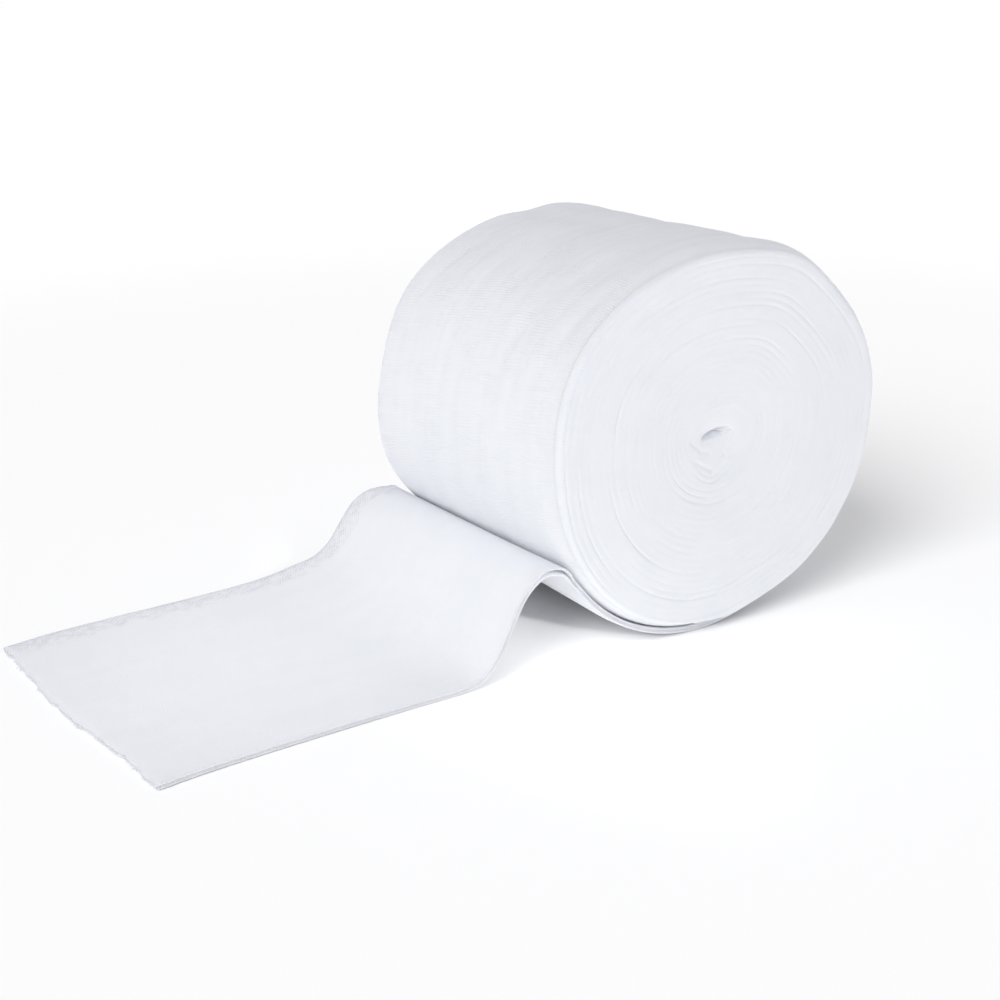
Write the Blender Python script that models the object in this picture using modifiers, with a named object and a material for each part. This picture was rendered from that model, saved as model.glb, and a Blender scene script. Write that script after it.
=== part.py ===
"""A gauze bandage roll on its side, with its loose end folded out along the floor.

One strip of folded gauze is wound round itself, with no core. Its last lap comes down the
right side, passes under the roll, climbs the lower left side, folds over in a hump and runs
out flat to a cut end.

Metres, +Z up. The roll's axis lies along Y and the strip runs out towards -X. The origin is
under the roll's axis, on the flat spot that it rests on.

Angles round the roll are seen from -Y: 0 at +X, 90 at the top. "Turned" counts degrees from
the place where the loose end leaves the roll, back along the strip, so it grows inwards.
"""

import math

import bmesh
import bpy
from mathutils import Vector

# The strip
CLOTH_WIDTH = 0.100  # selvage to selvage
SHEET_THICKNESS = 0.0018  # the folded gauze as a loose sheet
TURN_PITCH = 0.0021  # what one turn adds to the roll's radius
LAYER_GAP = 0.0003  # between the loose end and what it touches
SEAM_GAP = 0.0005  # between the loose end's first edge and the lap it carries on from

# The roll
ROLL_RADIUS = 0.0620  # outside of the last lap, where the loose end leaves
SAG = 0.0015  # the roll is wider and lower by this, from its own weight
FLAT_DEPTH = 0.0009  # how far the round is pressed flat at the bottom
LEAVING_ANGLE = -97.0
ROLL_CENTRE_Z = ROLL_RADIUS - SAG - FLAT_DEPTH
COLUMNS = 96  # points round the roll

# Where the outline leaves the plain oval. Rise is outwards, for each end of the roll.
BULGES = (
    # angle, spread, rise_near, rise_far
    (-70, 18, -0.0017, -0.0008),  # lower right, pulled straight
    (20, 20, 0.0019, 0.0008),  # right shoulder
    (62, 14, 0.0018, 0.0008),
    (97, 8, 0.0000, -0.0014),  # dip in the far rim's top
    (144, 24, 0.0020, 0.0032),  # upper left shoulder
    (-172, 26, -0.0022, 0.0012),  # left, drawn in at the near rim
    (-163, 20, 0.0000, 0.0026),
    (-140, 22, -0.0011, -0.0003),  # lower left, under the last lap
)

# Soft troughs that run round the side. Each is deepest at one angle and fades both ways.
TROUGHS = (
    # across, half_width, depth, angle, spread
    (-0.030, 0.006, 0.0005, 95, 60),
    (-0.012, 0.007, 0.0004, 150, 70),
    (0.004, 0.006, 0.0007, 88, 55),
    (0.021, 0.005, 0.0006, 120, 60),
    (0.034, 0.005, 0.0008, 98, 45),
    (0.010, 0.008, 0.0005, 20, 70),
)

# Rims, from the face outwards. Inset is measured in from the outline, back is measured in
# from the face. The last lap stands apart from the turns under it where it is exposed.
NEAR_RIM = (
    # inset_merged, back_merged, inset_exposed, back_exposed
    (0.0029, 0.0006, 0.0048, 0.0003),  # crest of the soft rim
    (0.0022, 0.0010, 0.0034, 0.0010),  # lip of the inner turns
    (0.0018, 0.0014, 0.0027, 0.0050),  # bottom of the gap under the last lap
    (0.0015, 0.0017, 0.0021, 0.0036),  # inner edge of the last lap
    (0.0009, 0.0026, 0.0012, 0.0029),  # top of the last lap
    (0.0003, 0.0042, 0.0003, 0.0035),  # outer edge of the last lap
    (0.0000, 0.0065, 0.0000, 0.0050),  # start of the side
)
FAR_RIM = (
    # inset_merged, back_merged, inset_exposed, back_exposed
    (0.0029, 0.0006, 0.0048, 0.0003),
    (0.0022, 0.0010, 0.0034, 0.0008),
    (0.0018, 0.0014, 0.0027, 0.0014),
    (0.0015, 0.0017, 0.0021, -0.0024),
    (0.0009, 0.0026, 0.0012, -0.0031),
    (0.0003, 0.0042, 0.0003, -0.0025),
    (0.0000, 0.0065, 0.0000, -0.0010),
)
EXPOSED_TO = 110.0  # turned degrees up to which the last lap's edge stands apart
MERGED_FROM = 230.0  # turned degrees from which it lies in the rim
SIDE_ROWS = 10  # rows of points between the two rims

# Faces, from the rim inwards: share of the radius, and how proud of the face plane.
FACE_RINGS = (
    # share, proud
    (1.00, 0.0000),
    (0.93, 0.0003),
    (0.78, 0.0007),
    (0.60, 0.0008),
    (0.43, 0.0005),
    (0.29, 0.0000),
    (0.18, -0.0007),
    (0.10, -0.0018),
    (0.04, -0.0038),
)
FACE_EDGE_INSET = 0.0058  # from the merged outline to the first face ring
EYE_X, EYE_Z = -0.0018, 0.0035  # middle of the pinched eye, from the roll's axis
EYE_HALF_LENGTH = 0.0050
EYE_ANGLE = 24.0
EYE_DEPTH = 0.0060

# The loose end's middle line, seen from the near side and from the far side, from where it
# parts from the roll to the cut end. Shift is along +Y. Lift says how the far line's height
# is shared over the width: 1 evenly, 3 mostly at the far edge. Loft is the extra thickness at
# the near edge, where the plies of the folded gauze part.
LOOSE_END = (
    # near_x, near_z, far_x, far_z, shift, lift, loft
    (-0.0501, 0.0247, -0.0500, 0.0211, 0.0033, 1, 0.0002),  # climbs beside the roll
    (-0.0546, 0.0299, -0.0538, 0.0245, 0.0033, 1, 0.0020),
    (-0.0588, 0.0308, -0.0585, 0.0268, 0.0033, 1, 0.0020),  # top of the hump
    (-0.0634, 0.0283, -0.0643, 0.0268, 0.0033, 1, 0.0010),
    (-0.0674, 0.0236, -0.0697, 0.0243, 0.0033, 1, 0.0003),
    (-0.0712, 0.0160, -0.0745, 0.0188, 0.0033, 1, 0.0000),
    (-0.0752, 0.0085, -0.0795, 0.0118, 0.0033, 1, 0.0000),
    (-0.0800, 0.0032, -0.0855, 0.0074, 0.0034, 1.5, 0.0000),
    (-0.0865, 0.0012, -0.0940, 0.0052, 0.0036, 2, 0.0000),  # comes down on the floor
    (-0.1000, 0.0010, -0.1060, 0.0031, 0.0036, 3, 0.0000),
    (-0.1200, 0.0010, -0.1240, 0.0022, 0.0031, 3, 0.0000),
    (-0.1450, 0.0010, -0.1520, 0.0019, 0.0020, 3, 0.0000),
    (-0.1650, 0.0010, -0.1740, 0.0017, 0.0006, 3, 0.0000),
    (-0.1771, 0.0010, -0.1890, 0.0012, -0.0010, 3, 0.0000),  # cut end
)
THICKEST = 0.0040  # no part of the loose end is thicker
LOFT_FADES_OVER = 0.35  # share of the width over which the plies come together again
CLINGS_FOR = 40.0  # degrees for which the loose end still follows the roll's outline
CLING_STEPS = 10
CLING_SLACK = 0.0005  # gap to the roll where it stops clinging, over LAYER_GAP
STEPS_PER_SPAN = 4
SHEET_COLUMNS = 14
CUT_WAVES = (
    # waves_over_width, depth, start
    (0.5, -0.0015, 0.0),  # the cut bows out
    (1.0, 0.0005, 0.0),
    (1.5, 0.0006, 0.0),
    (5.3, 0.0004, 2.1),
)

GAUZE_WHITE = (0.86, 0.88, 0.91, 1.0)
GAUZE_ROUGHNESS = 0.95


def smooth(value):
    """0 below 0, 1 above 1, and an S curve between."""
    value = max(0.0, min(1.0, value))
    return value * value * (3 - 2 * value)


def bell(offset, spread):
    return math.exp(-((offset / spread) ** 2))


def angle_between(first, second):
    """Difference of two angles in degrees, from -180 to 180."""
    return (first - second + 180) % 360 - 180


def outline(turned, across):
    """Radius of the roll's outside, a spiral that gets smaller as it turns inwards."""
    angle = LEAVING_ANGLE + turned
    radius = ROLL_RADIUS - TURN_PITCH * turned / 360
    radius += SAG * math.cos(math.radians(2 * angle))
    far_share = across / CLOTH_WIDTH + 0.5
    for bulge_angle, spread, rise_near, rise_far in BULGES:
        rise = rise_near + (rise_far - rise_near) * far_share
        radius += rise * bell(angle_between(angle, bulge_angle), spread)
    for trough_across, half_width, depth, trough_angle, spread in TROUGHS:
        fade = bell(angle_between(angle, trough_angle), spread)
        radius -= depth * fade * bell(across - trough_across, half_width)
    return radius


def roll_point(turned, radius, across):
    """A point at this radius from the roll's axis, pressed flat where it meets the floor.

    A lap further in, what it meets is the loose end, which lies on the floor under it.
    """
    floor = SHEET_THICKNESS + LAYER_GAP if turned > 180 else 0.0
    angle = math.radians(LEAVING_ANGLE + turned)
    height = ROLL_CENTRE_Z + radius * math.sin(angle)
    return Vector((radius * math.cos(angle), across, max(floor, height)))


def exposed(turned):
    """1 where the last lap's edges stand apart from the turns under it, 0 where they merge."""
    return 1 - smooth((turned - EXPOSED_TO) / (MERGED_FROM - EXPOSED_TO))


def rim_row(end, inset_merged, back_merged, inset_exposed, back_exposed):
    """Points of one rim row, from the loose end's root round to the same angle one lap in."""
    points = []
    for column in range(COLUMNS + 1):
        turned = 360 * column / COLUMNS
        inset = inset_merged + (inset_exposed - inset_merged) * exposed(turned)
        back = back_merged + (back_exposed - back_merged) * exposed(turned)
        across = end * (CLOTH_WIDTH / 2 - back)
        points.append(roll_point(turned, outline(turned, across) - inset, across))
    return points


def side_row(near_row, far_row, share):
    """Points of a row on the side, between the two rims' last rows."""
    points = []
    for column, (near, far) in enumerate(zip(near_row, far_row)):
        turned = 360 * column / COLUMNS
        across = near.y + (far.y - near.y) * share
        points.append(roll_point(turned, outline(turned, across), across))
    return points


def face_ring(end, share, proud):
    """A closed ring on a face, which turns from the roll's outline into the pinched eye."""
    eye_share = (1 - share) ** 3
    eye_run = Vector((math.cos(math.radians(EYE_ANGLE)), 0, math.sin(math.radians(EYE_ANGLE))))
    points = []
    for column in range(COLUMNS):
        turned = 360 * column / COLUMNS
        edge = outline(turned, end * CLOTH_WIDTH / 2) + TURN_PITCH * (turned / 360 - 1)
        point = roll_point(turned, (edge - FACE_EDGE_INSET) * share, 0)
        along_eye = math.cos(math.radians(LEAVING_ANGLE + turned - EYE_ANGLE))
        point += eye_run * (EYE_HALF_LENGTH * eye_share * along_eye)
        point += Vector((EYE_X, 0, EYE_Z)) * (1 - share)
        point.y = end * (CLOTH_WIDTH / 2 + proud)
        points.append(point)
    return points


def bridge(mesh, first, second, closed):
    """Quads between two rows of vertices."""
    count = len(first)
    for index in range(count if closed else count - 1):
        after = (index + 1) % count
        mesh.faces.new((first[index], first[after], second[after], second[index]))


def build_roll():
    """The wound roll: a spiral body with a step under it, soft rims and two pinched faces."""
    mesh = bmesh.new()

    def place(points):
        return [mesh.verts.new(point) for point in points]

    near_rim = [rim_row(-1, *row) for row in NEAR_RIM]
    far_rim = [rim_row(1, *row) for row in FAR_RIM]
    side_shares = [row / (SIDE_ROWS + 1) for row in range(1, SIDE_ROWS + 1)]
    side = [side_row(near_rim[-1], far_rim[-1], share) for share in side_shares]
    body = [place(points) for points in near_rim + side + far_rim[::-1]]
    for first, second in zip(body, body[1:]):
        bridge(mesh, first, second, closed=False)

    near_face = [place(face_ring(-1, share, proud)) for share, proud in FACE_RINGS]
    far_face = [place(face_ring(1, share, proud)) for share, proud in FACE_RINGS]
    for rings in (near_face, far_face):
        for first, second in zip(rings, rings[1:]):
            bridge(mesh, first, second, closed=True)
    for end, ring in ((-1, near_face[-1]), (1, far_face[-1])):
        floor = mesh.verts.new((EYE_X, end * (CLOTH_WIDTH / 2 - EYE_DEPTH), ROLL_CENTRE_Z + EYE_Z))
        for index, vertex in enumerate(ring):
            mesh.faces.new((vertex, ring[(index + 1) % COLUMNS], floor))

    # Each face's first ring is closed and the rim row next to it is open, so the step's wall
    # starts at the ring's first point and takes in one column from each side of the step.
    for ring, rim in ((near_face[0], body[0]), (far_face[0], body[-1])):
        bridge(mesh, ring + ring[:1], rim, closed=False)
    outer = [row[0] for row in body]
    inner = [row[-1] for row in body]
    mesh.faces.new([near_face[0][0], *outer, far_face[0][0], *reversed(inner)])

    bmesh.ops.recalc_face_normals(mesh, faces=mesh.faces)
    return mesh


def curve_through(points, steps):
    """Points on a smooth curve through these points, as a Catmull-Rom spline."""
    ends = [2 * points[0] - points[1], *points, 2 * points[-1] - points[-2]]
    curve = []
    for before, start, end, after in zip(ends, ends[1:], ends[2:], ends[3:]):
        for step in range(steps):
            t = step / steps
            slope = end - before
            bend = 2 * before - 5 * start + 4 * end - after
            twist = 3 * start - before - 3 * end + after
            curve.append(start + (slope + (bend + twist * t) * t) * t / 2)
    curve.append(points[-1])
    return curve


def clinging_points(share, shift):
    """The first part of the loose end's line, which still follows the roll's outline."""
    across = (share - 0.5) * CLOTH_WIDTH
    seam_angle = math.degrees(SEAM_GAP / ROLL_RADIUS)
    points = []
    for step in range(CLING_STEPS + 1):
        turned = -seam_angle - (CLINGS_FOR - seam_angle) * step / CLING_STEPS
        slack = LAYER_GAP + CLING_SLACK * smooth(step / CLING_STEPS)
        radius = outline(turned + 360, across) + slack + SHEET_THICKNESS / 2
        points.append(roll_point(turned, radius, across + shift))
    return points


def loose_line(share):
    """The loose end's middle line at this share of its width, 0 near and 1 far.

    Each point is x, y, z and the cloth's thickness there.
    """
    fold_points = []
    for near_x, near_z, far_x, far_z, shift, lift, loft in LOOSE_END:
        x = near_x + (far_x - near_x) * share
        y = (share - 0.5) * CLOTH_WIDTH + shift
        z = near_z + (far_z - near_z) * share**lift
        thickness = SHEET_THICKNESS + loft * (1 - smooth(share / LOFT_FADES_OVER))
        fold_points.append(Vector((x, y, z, thickness)))
    for waves, depth, start in CUT_WAVES:
        fold_points[-1].x += depth * math.sin(2 * math.pi * waves * share + start)

    first_shift = LOOSE_END[0][4]
    clinging = [Vector((*point, SHEET_THICKNESS)) for point in clinging_points(share, first_shift)]
    line = clinging[:-1] + curve_through([clinging[-1], *fold_points], STEPS_PER_SPAN)
    for point in line:
        point.z = max(point.z, point.w / 2)  # it lies on the floor, not in it
    return line


def build_loose_end():
    """The loose end as an open surface, with its thickness kept in the first vertex group."""
    mesh = bmesh.new()
    weights = mesh.verts.layers.deform.verify()
    lines = []
    for column in range(SHEET_COLUMNS + 1):
        line = []
        for x, y, z, thickness in loose_line(column / SHEET_COLUMNS):
            vertex = mesh.verts.new((x, y, z))
            vertex[weights][0] = thickness / THICKEST
            line.append(vertex)
        lines.append(line)
    for first, second in zip(lines, lines[1:]):
        bridge(mesh, first, second, closed=False)
    return mesh


def gauze_material():
    material = bpy.data.materials.new("gauze")
    material.use_nodes = True
    shader = material.node_tree.nodes["Principled BSDF"]
    shader.inputs["Base Color"].default_value = GAUZE_WHITE
    shader.inputs["Roughness"].default_value = GAUZE_ROUGHNESS
    shader.inputs["Metallic"].default_value = 0.0
    return material


def add_object(name, mesh, material, collection):
    data = bpy.data.meshes.new(name)
    mesh.to_mesh(data)
    mesh.free()
    data.materials.append(material)
    data.shade_smooth()
    data.set_sharp_from_angle(angle=math.radians(40))
    piece = bpy.data.objects.new(name, data)
    collection.objects.link(piece)
    return piece


def main():
    for old in list(bpy.data.objects):
        bpy.data.objects.remove(old)
    collection = bpy.data.collections.new("gauze_bandage_roll")
    bpy.context.scene.collection.children.link(collection)
    material = gauze_material()

    add_object("wound_roll", build_roll(), material, collection)

    loose_end = add_object("loose_end", build_loose_end(), material, collection)
    thickness_group = loose_end.vertex_groups.new(name="thickness")
    thicken = loose_end.modifiers.new("thickness", "SOLIDIFY")
    thicken.thickness = THICKEST
    thicken.vertex_group = thickness_group.name
    thicken.offset = 0.0
    thicken.use_even_offset = True


main()
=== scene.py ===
"""The looks of a gauze bandage roll that lies on its side with its loose end folded out.

The roll is one strip of folded gauze. Its last lap and its loose end are one sheet here, and the
turns under that lap are two bodies that meet at mid width, each with a wound face.

Metres, +Z up. The roll's axis lies along Y and the loose end runs out towards -X. Angles round
the roll are seen from -Y: 0 at +X, 90 at the top. "Turned" counts degrees from the place where
the loose end leaves the roll, back along the strip, so it grows inwards.
"""

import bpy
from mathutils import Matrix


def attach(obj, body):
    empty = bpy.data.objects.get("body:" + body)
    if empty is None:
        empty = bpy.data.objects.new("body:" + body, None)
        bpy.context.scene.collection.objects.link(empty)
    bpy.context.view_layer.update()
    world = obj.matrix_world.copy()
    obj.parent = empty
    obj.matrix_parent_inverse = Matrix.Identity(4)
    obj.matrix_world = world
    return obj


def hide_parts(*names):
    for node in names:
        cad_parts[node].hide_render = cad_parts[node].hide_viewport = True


bl_info = {
    "name": "Gauze bandage roll",
    "version": (1, 0, 0),
    "blender": (4, 5, 0),
    "location": "3D View > Sidebar > Gauze roll",
    "description": "Builds a wound gauze bandage with its loose end, its threads and a plain stage",
    "category": "Add Mesh",
}

from functools import partialmethod

import bpy
import numpy as np
from bpy.props import FloatProperty, FloatVectorProperty, PointerProperty
from bpy.types import Operator, Panel, PropertyGroup
from mathutils import Vector

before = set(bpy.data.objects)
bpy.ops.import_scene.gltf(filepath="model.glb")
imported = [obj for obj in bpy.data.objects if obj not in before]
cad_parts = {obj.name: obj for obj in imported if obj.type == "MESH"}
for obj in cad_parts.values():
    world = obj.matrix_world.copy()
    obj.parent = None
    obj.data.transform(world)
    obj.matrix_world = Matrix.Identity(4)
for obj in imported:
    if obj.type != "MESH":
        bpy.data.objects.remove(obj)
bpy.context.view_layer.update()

# The strip
CLOTH_WIDTH = 0.100
SHEET_THICKNESS = 0.0018
TURN_PITCH = 0.0021
LAYER_GAP = 0.0003

# The roll
ROLL_RADIUS = 0.0620
SAG = 0.0015
FLAT_DEPTH = 0.0009
LEAVING_ANGLE = -97.0
ROLL_CENTRE_Z = ROLL_RADIUS - SAG - FLAT_DEPTH

# Where the outline leaves the plain oval. Rise is outwards, for each end of the roll.
BULGES = (
    # angle, spread, rise_near, rise_far
    (-70, 18, -0.0017, -0.0008),
    (20, 20, 0.0019, 0.0008),
    (62, 14, 0.0018, 0.0008),
    (97, 8, 0, -0.0014),
    (144, 24, 0.0020, 0.0032),
    (-172, 26, -0.0022, 0.0012),
    (-163, 20, 0, 0.0026),
    (-140, 22, -0.0011, -0.0003),
)

# Soft troughs that run round the side. Each is deepest at one angle and fades both ways.
TROUGHS = (
    # across, half_width, depth, angle, spread, slant: metres across to a degree
    (-0.030, 0.006, 0.0005, 95, 60, 0),
    (-0.012, 0.007, 0.0004, 150, 70, 0),
    (0.004, 0.006, 0.0007, 88, 55, 0),
    (0.021, 0.005, 0.0006, 120, 60, 0),
    (0.034, 0.005, 0.0008, 98, 45, 0),
    (0.010, 0.008, 0.0005, 20, 70, 0),
    (0.0335, 0.0018, 0.00080, 131, 20, 0.00022),
    (0.0228, 0.0022, 0.00065, 121, 20, 0),
    (0.0285, 0.0014, 0.00035, 124, 18, 0.00010),
    (0.0415, 0.0018, 0.00040, 150, 25, 0),
    (0.0120, 0.0020, 0.00045, 118, 25, -0.00005),
    (-0.0050, 0.0018, 0.00040, 128, 25, 0.00008),
    (-0.0125, 0.0016, 0.00035, 105, 22, 0),
    (-0.0215, 0.0032, 0.00100, 142, 24, 0.00020),
    (-0.0330, 0.0020, 0.00045, 135, 30, 0.00020),
    (-0.0415, 0.0028, 0.00070, 138, 25, 0.00025),
)
EXPOSED_TO = 110.0  # turned degrees up to which the last lap's edges stand apart
MERGED_FROM = 230.0  # turned degrees from which they lie in the rim
LAP_SHIFT = 0.0033  # the last lap lies this much further back where it stands apart

# The loose end's middle line at the near and the far edge, from where it parts from the roll.
LOOSE_END = (
    # near_x, near_z, far_x, far_z, shift, lift, loft
    (-0.0494, 0.0252, -0.0503, 0.0214, 0.0033, 1, 0),
    (-0.0531, 0.0297, -0.0551, 0.0262, 0.0033, 1, 0.0006),
    (-0.0588, 0.0308, -0.0585, 0.0268, 0.0033, 1, 0.0007),  # top of the hump
    (-0.0634, 0.0283, -0.0643, 0.0268, 0.0033, 1, 0.0002),
    (-0.0674, 0.0236, -0.0697, 0.0243, 0.0033, 1, 0),
    (-0.0712, 0.0160, -0.0745, 0.0188, 0.0033, 1, 0),
    (-0.0752, 0.0085, -0.0795, 0.0118, 0.0033, 1, 0),
    (-0.0800, 0.0032, -0.0855, 0.0074, 0.0034, 1.5, 0),
    (-0.0865, 0.0012, -0.0940, 0.0052, 0.0036, 2, 0),
    (-0.1000, 0.0010, -0.1060, 0.0031, 0.0036, 3, 0),
    (-0.1200, 0.0010, -0.1240, 0.0022, 0.0031, 3, 0),
    (-0.1450, 0.0010, -0.1520, 0.0019, 0.0020, 3, 0),
    (-0.1650, 0.0010, -0.1740, 0.0017, 0.0006, 3, 0),
    (-0.1771, 0.0010, -0.1890, 0.0012, -0.0010, 3, 0),  # cut end
)
LOFT_FADES_OVER = 0.35  # share of the width, from the near edge
CLINGS_FOR = 40.0  # degrees past the leaving place for which the strip follows the roll
CLING_SLACK = 0.0005
HANDED_OVER_IN = 3.0  # degrees in which its radius changes from the last lap's to the roll's
CUT_WAVES = (
    # waves_over_width, depth, start
    (0.5, -0.0015, 0.0),
    (1.0, 0.0005, 0.0),
    (1.5, 0.0006, 0.0),
    (5.3, 0.0002, 2.1),
    (11.0, 0.00016, 0.4),
    (19.0, 0.00010, 3.0),
)

# The wound faces
EYE_X, EYE_Z = -0.0018, 0.0035
EYE_HALF_LENGTH = 0.0038
EYE_ANGLE = 8.0
TUCKED_FOR = 32.0  # degrees for which the strip's inner end runs on under the next turn


def smooth(value):
    """0 below 0, 1 above 1, and 3t^2 - 2t^3 between."""
    value = np.clip(value, 0.0, 1.0)
    return value * value * (3 - 2 * value)


def bell(offset, spread):
    """exp(-(offset / spread)^2)"""
    return np.exp(-((offset / spread) ** 2))


def angle_between(first, second):
    """Difference of two angles in degrees, from -180 to 180."""
    return (first - second + 180) % 360 - 180


def between(first, second, share):
    return first + (second - first) * share


def polar(radius, degrees):
    angle = np.radians(degrees)
    return radius * np.cos(angle), radius * np.sin(angle)


def unevenness(first, second, size, seed, waves=9):
    """Soft bumps, about -1 to 1: plane waves in random directions, 0.6 to 1.8 sizes long, added."""
    chance = np.random.default_rng(seed)
    total = np.zeros(np.broadcast(first, second).shape)
    for _ in range(waves):
        heading = chance.uniform(0, 2 * np.pi)
        wave_length = size * chance.uniform(0.6, 1.8)
        start = chance.uniform(0, 2 * np.pi)
        run = first * np.cos(heading) + second * np.sin(heading)
        total = total + np.sin(2 * np.pi * run / wave_length + start)
    return total / waves**0.5 / 1.5


def out_of_round(angle, across):
    """How far the outline leaves its circle: the sag, 2 to a turn, and the bulges' bells."""
    rise = SAG * np.cos(np.radians(2 * angle))
    far_share = across / CLOTH_WIDTH + 0.5
    for bulge_angle, spread, rise_near, rise_far in BULGES:
        height = between(rise_near, rise_far, far_share)
        rise = rise + height * bell(angle_between(angle, bulge_angle), spread)
    return rise


def outline(turned, across):
    """Radius of the roll's outside: a spiral, plus what is out of round, less the troughs."""
    angle = LEAVING_ANGLE + turned
    radius = ROLL_RADIUS - TURN_PITCH * turned / 360 + out_of_round(angle, across)
    for trough_across, half_width, depth, trough_angle, spread, slant in TROUGHS:
        along = angle_between(angle, trough_angle)
        off = across - trough_across - slant * along
        radius = radius - depth * bell(along, spread) * bell(off, half_width)
    return radius


def exposed(turned):
    """1 where the last lap's edges stand apart from the turns under it, 0 where they merge."""
    return 1 - smooth((turned - EXPOSED_TO) / (MERGED_FROM - EXPOSED_TO))


def unit(vectors):
    """The vectors, each scaled to length 1."""
    return vectors / np.linalg.norm(vectors, axis=-1, keepdims=True)


def cells(grid):
    """The four corners of each cell of a grid of vertex numbers or points, in turn."""
    corners = grid[:-1, :-1], grid[:-1, 1:], grid[1:, 1:], grid[1:, :-1]
    return np.stack(corners, axis=2).reshape(-1, 4, *grid.shape[2:])


def ring_cells(rows, columns):
    """Quads of a tube whose vertices are numbered ring by ring."""
    numbers = np.arange(rows * columns).reshape(rows, columns)
    return cells(np.hstack([numbers, numbers[:, :1]]))


UV_UNIT = 0.1  # metres to one unit of the UV map


def new_object(name, data):
    """An object of this data, in the scene."""
    made = bpy.data.objects.new(name, data)
    bpy.context.scene.collection.objects.link(made)
    return made


def add_piece(name, points, quads, material, triangles=(), corner_uv=None, nodes=()):
    """A mesh object from arrays, which rides on the root body. Corner UVs are in metres."""
    mesh = bpy.data.meshes.new(name)
    mesh.from_pydata(points.tolist(), [], [*quads.tolist(), *np.asarray(triangles).tolist()])
    if corner_uv is not None:
        uv_map = mesh.uv_layers.new(name="cloth")
        uv_map.data.foreach_set("uv", np.asarray(corner_uv / UV_UNIT, np.float32).ravel())
    mesh.shade_smooth()
    mesh.materials.append(material)
    piece = new_object(name, mesh)
    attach(piece, "root")
    if nodes:
        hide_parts(*nodes)
    return piece


# -------- the strip

EDGE_START = 0.0428  # where an edge starts to bend, from the middle of the width
EDGE_BEND_MERGED = 60.0  # degrees by which a merged edge bends in over the rim
EDGE_BEND_EXPOSED = 9.0
EDGE_SECTION = (
    # in_from_edge, share of the half thickness
    (0.00080, 1.00),
    (0.00035, 0.97),
    (0.00010, 0.84),
    (0, 0.60),
    (0.00006, 0.34),
    (0.00030, 0.14),
)
NOTCH_DEPTH = 0.0002
NOTCH_DEPTH_AT_HUMP = 0.0045
NOTCH_STEPS = (0.30, 0.65, 1.0)
NOTCH_MOUTH, NOTCH_NARROWS = 0.14, 0.12  # of its height, in shares of the half thickness
NOTCH_FADES_IN = 4  # stations at each end of the strip
HUMP_END, HUMP_RAMP = 5.0, 2.0  # places on the loose end between which the near notch is deep
MIDDLE_INSET = 0.0020  # in from each edge, where the plain middle of the section starts
MIDDLE_POINTS = 84
CUT_NOTCH = ((0, 0.45), (1, 0.15))  # stations back from the cut, share of the thickness
TUCK_SINKS = 0.0007
NORMAL_STEP = 0.00005  # step across from which the surface's slope is taken


def half_section():
    """The strip's upper half in section: across, height share, and notch share, as arrays.

    It runs from the bottom of the near edge's notch, out round the upper ply's edge, over the
    width, and round the far edge to the bottom of its notch.
    """
    notch = [(0.0, NOTCH_MOUTH - NOTCH_NARROWS * share, share) for share in NOTCH_STEPS[::-1]]
    edge = np.array(notch + [(*point, 0.0) for point in EDGE_SECTION[::-1]])
    half = CLOTH_WIDTH / 2
    spread = np.linspace(MIDDLE_INSET - half, half - MIDDLE_INSET, MIDDLE_POINTS)
    middle = [(across, 1.0, 0.0) for across in spread]
    near, far = edge - (half, 0, 0), edge[::-1] * (-1, 1, 1) + (half, 0, 0)
    return np.concatenate([near, middle, far]).T


def edge_bend(across, turned):
    """Where a point across the strip comes to lie once the edges bend in over the rims.

    Past its start an edge follows an arc: sideways radius * sin(angle), inwards radius *
    (1 - cos(angle)). Returns the place across and the inset.
    """
    bend = between(EDGE_BEND_MERGED, EDGE_BEND_EXPOSED, exposed(turned))
    arc_radius = (CLOTH_WIDTH / 2 - EDGE_START) / np.radians(bend)
    angle = np.clip(np.abs(across) - EDGE_START, 0, None) / arc_radius
    kept = np.minimum(np.abs(across), EDGE_START)
    placed = np.sign(across) * (kept + arc_radius * np.sin(angle))
    return placed, arc_radius * (1 - np.cos(angle))


def wound_strip(turned, across):
    """The strip's middle surface while it follows the roll.

    x, z = radius * (cos, sin) of the angle about the axis, where radius is the outline less half
    the thickness and less the edge's inset, and z is never under what the strip lies on.
    """
    on_roll = np.maximum(turned, 0)
    placed, inset = edge_bend(across, on_roll)
    shifted = placed + LAP_SHIFT * exposed(on_roll)
    lap_radius = outline(turned, shifted) - SHEET_THICKNESS / 2
    slack = CLING_SLACK * smooth(-turned / CLINGS_FOR)
    cling_radius = outline(turned + 360, placed) + LAYER_GAP + slack + SHEET_THICKNESS / 2
    handed_over = smooth(-turned / HANDED_OVER_IN)
    radius = between(lap_radius, cling_radius, handed_over) - inset
    radius = radius - TUCK_SINKS * smooth((turned - 360) / TUCKED_FOR)
    x, z = polar(radius, LEAVING_ANGLE + turned)
    under = np.where(turned > 180, SHEET_THICKNESS + LAYER_GAP, 0.0)
    z = np.maximum(ROLL_CENTRE_Z + z, under + SHEET_THICKNESS / 2)
    return np.stack([x, shifted + 0 * radius, z], axis=-1)


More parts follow.
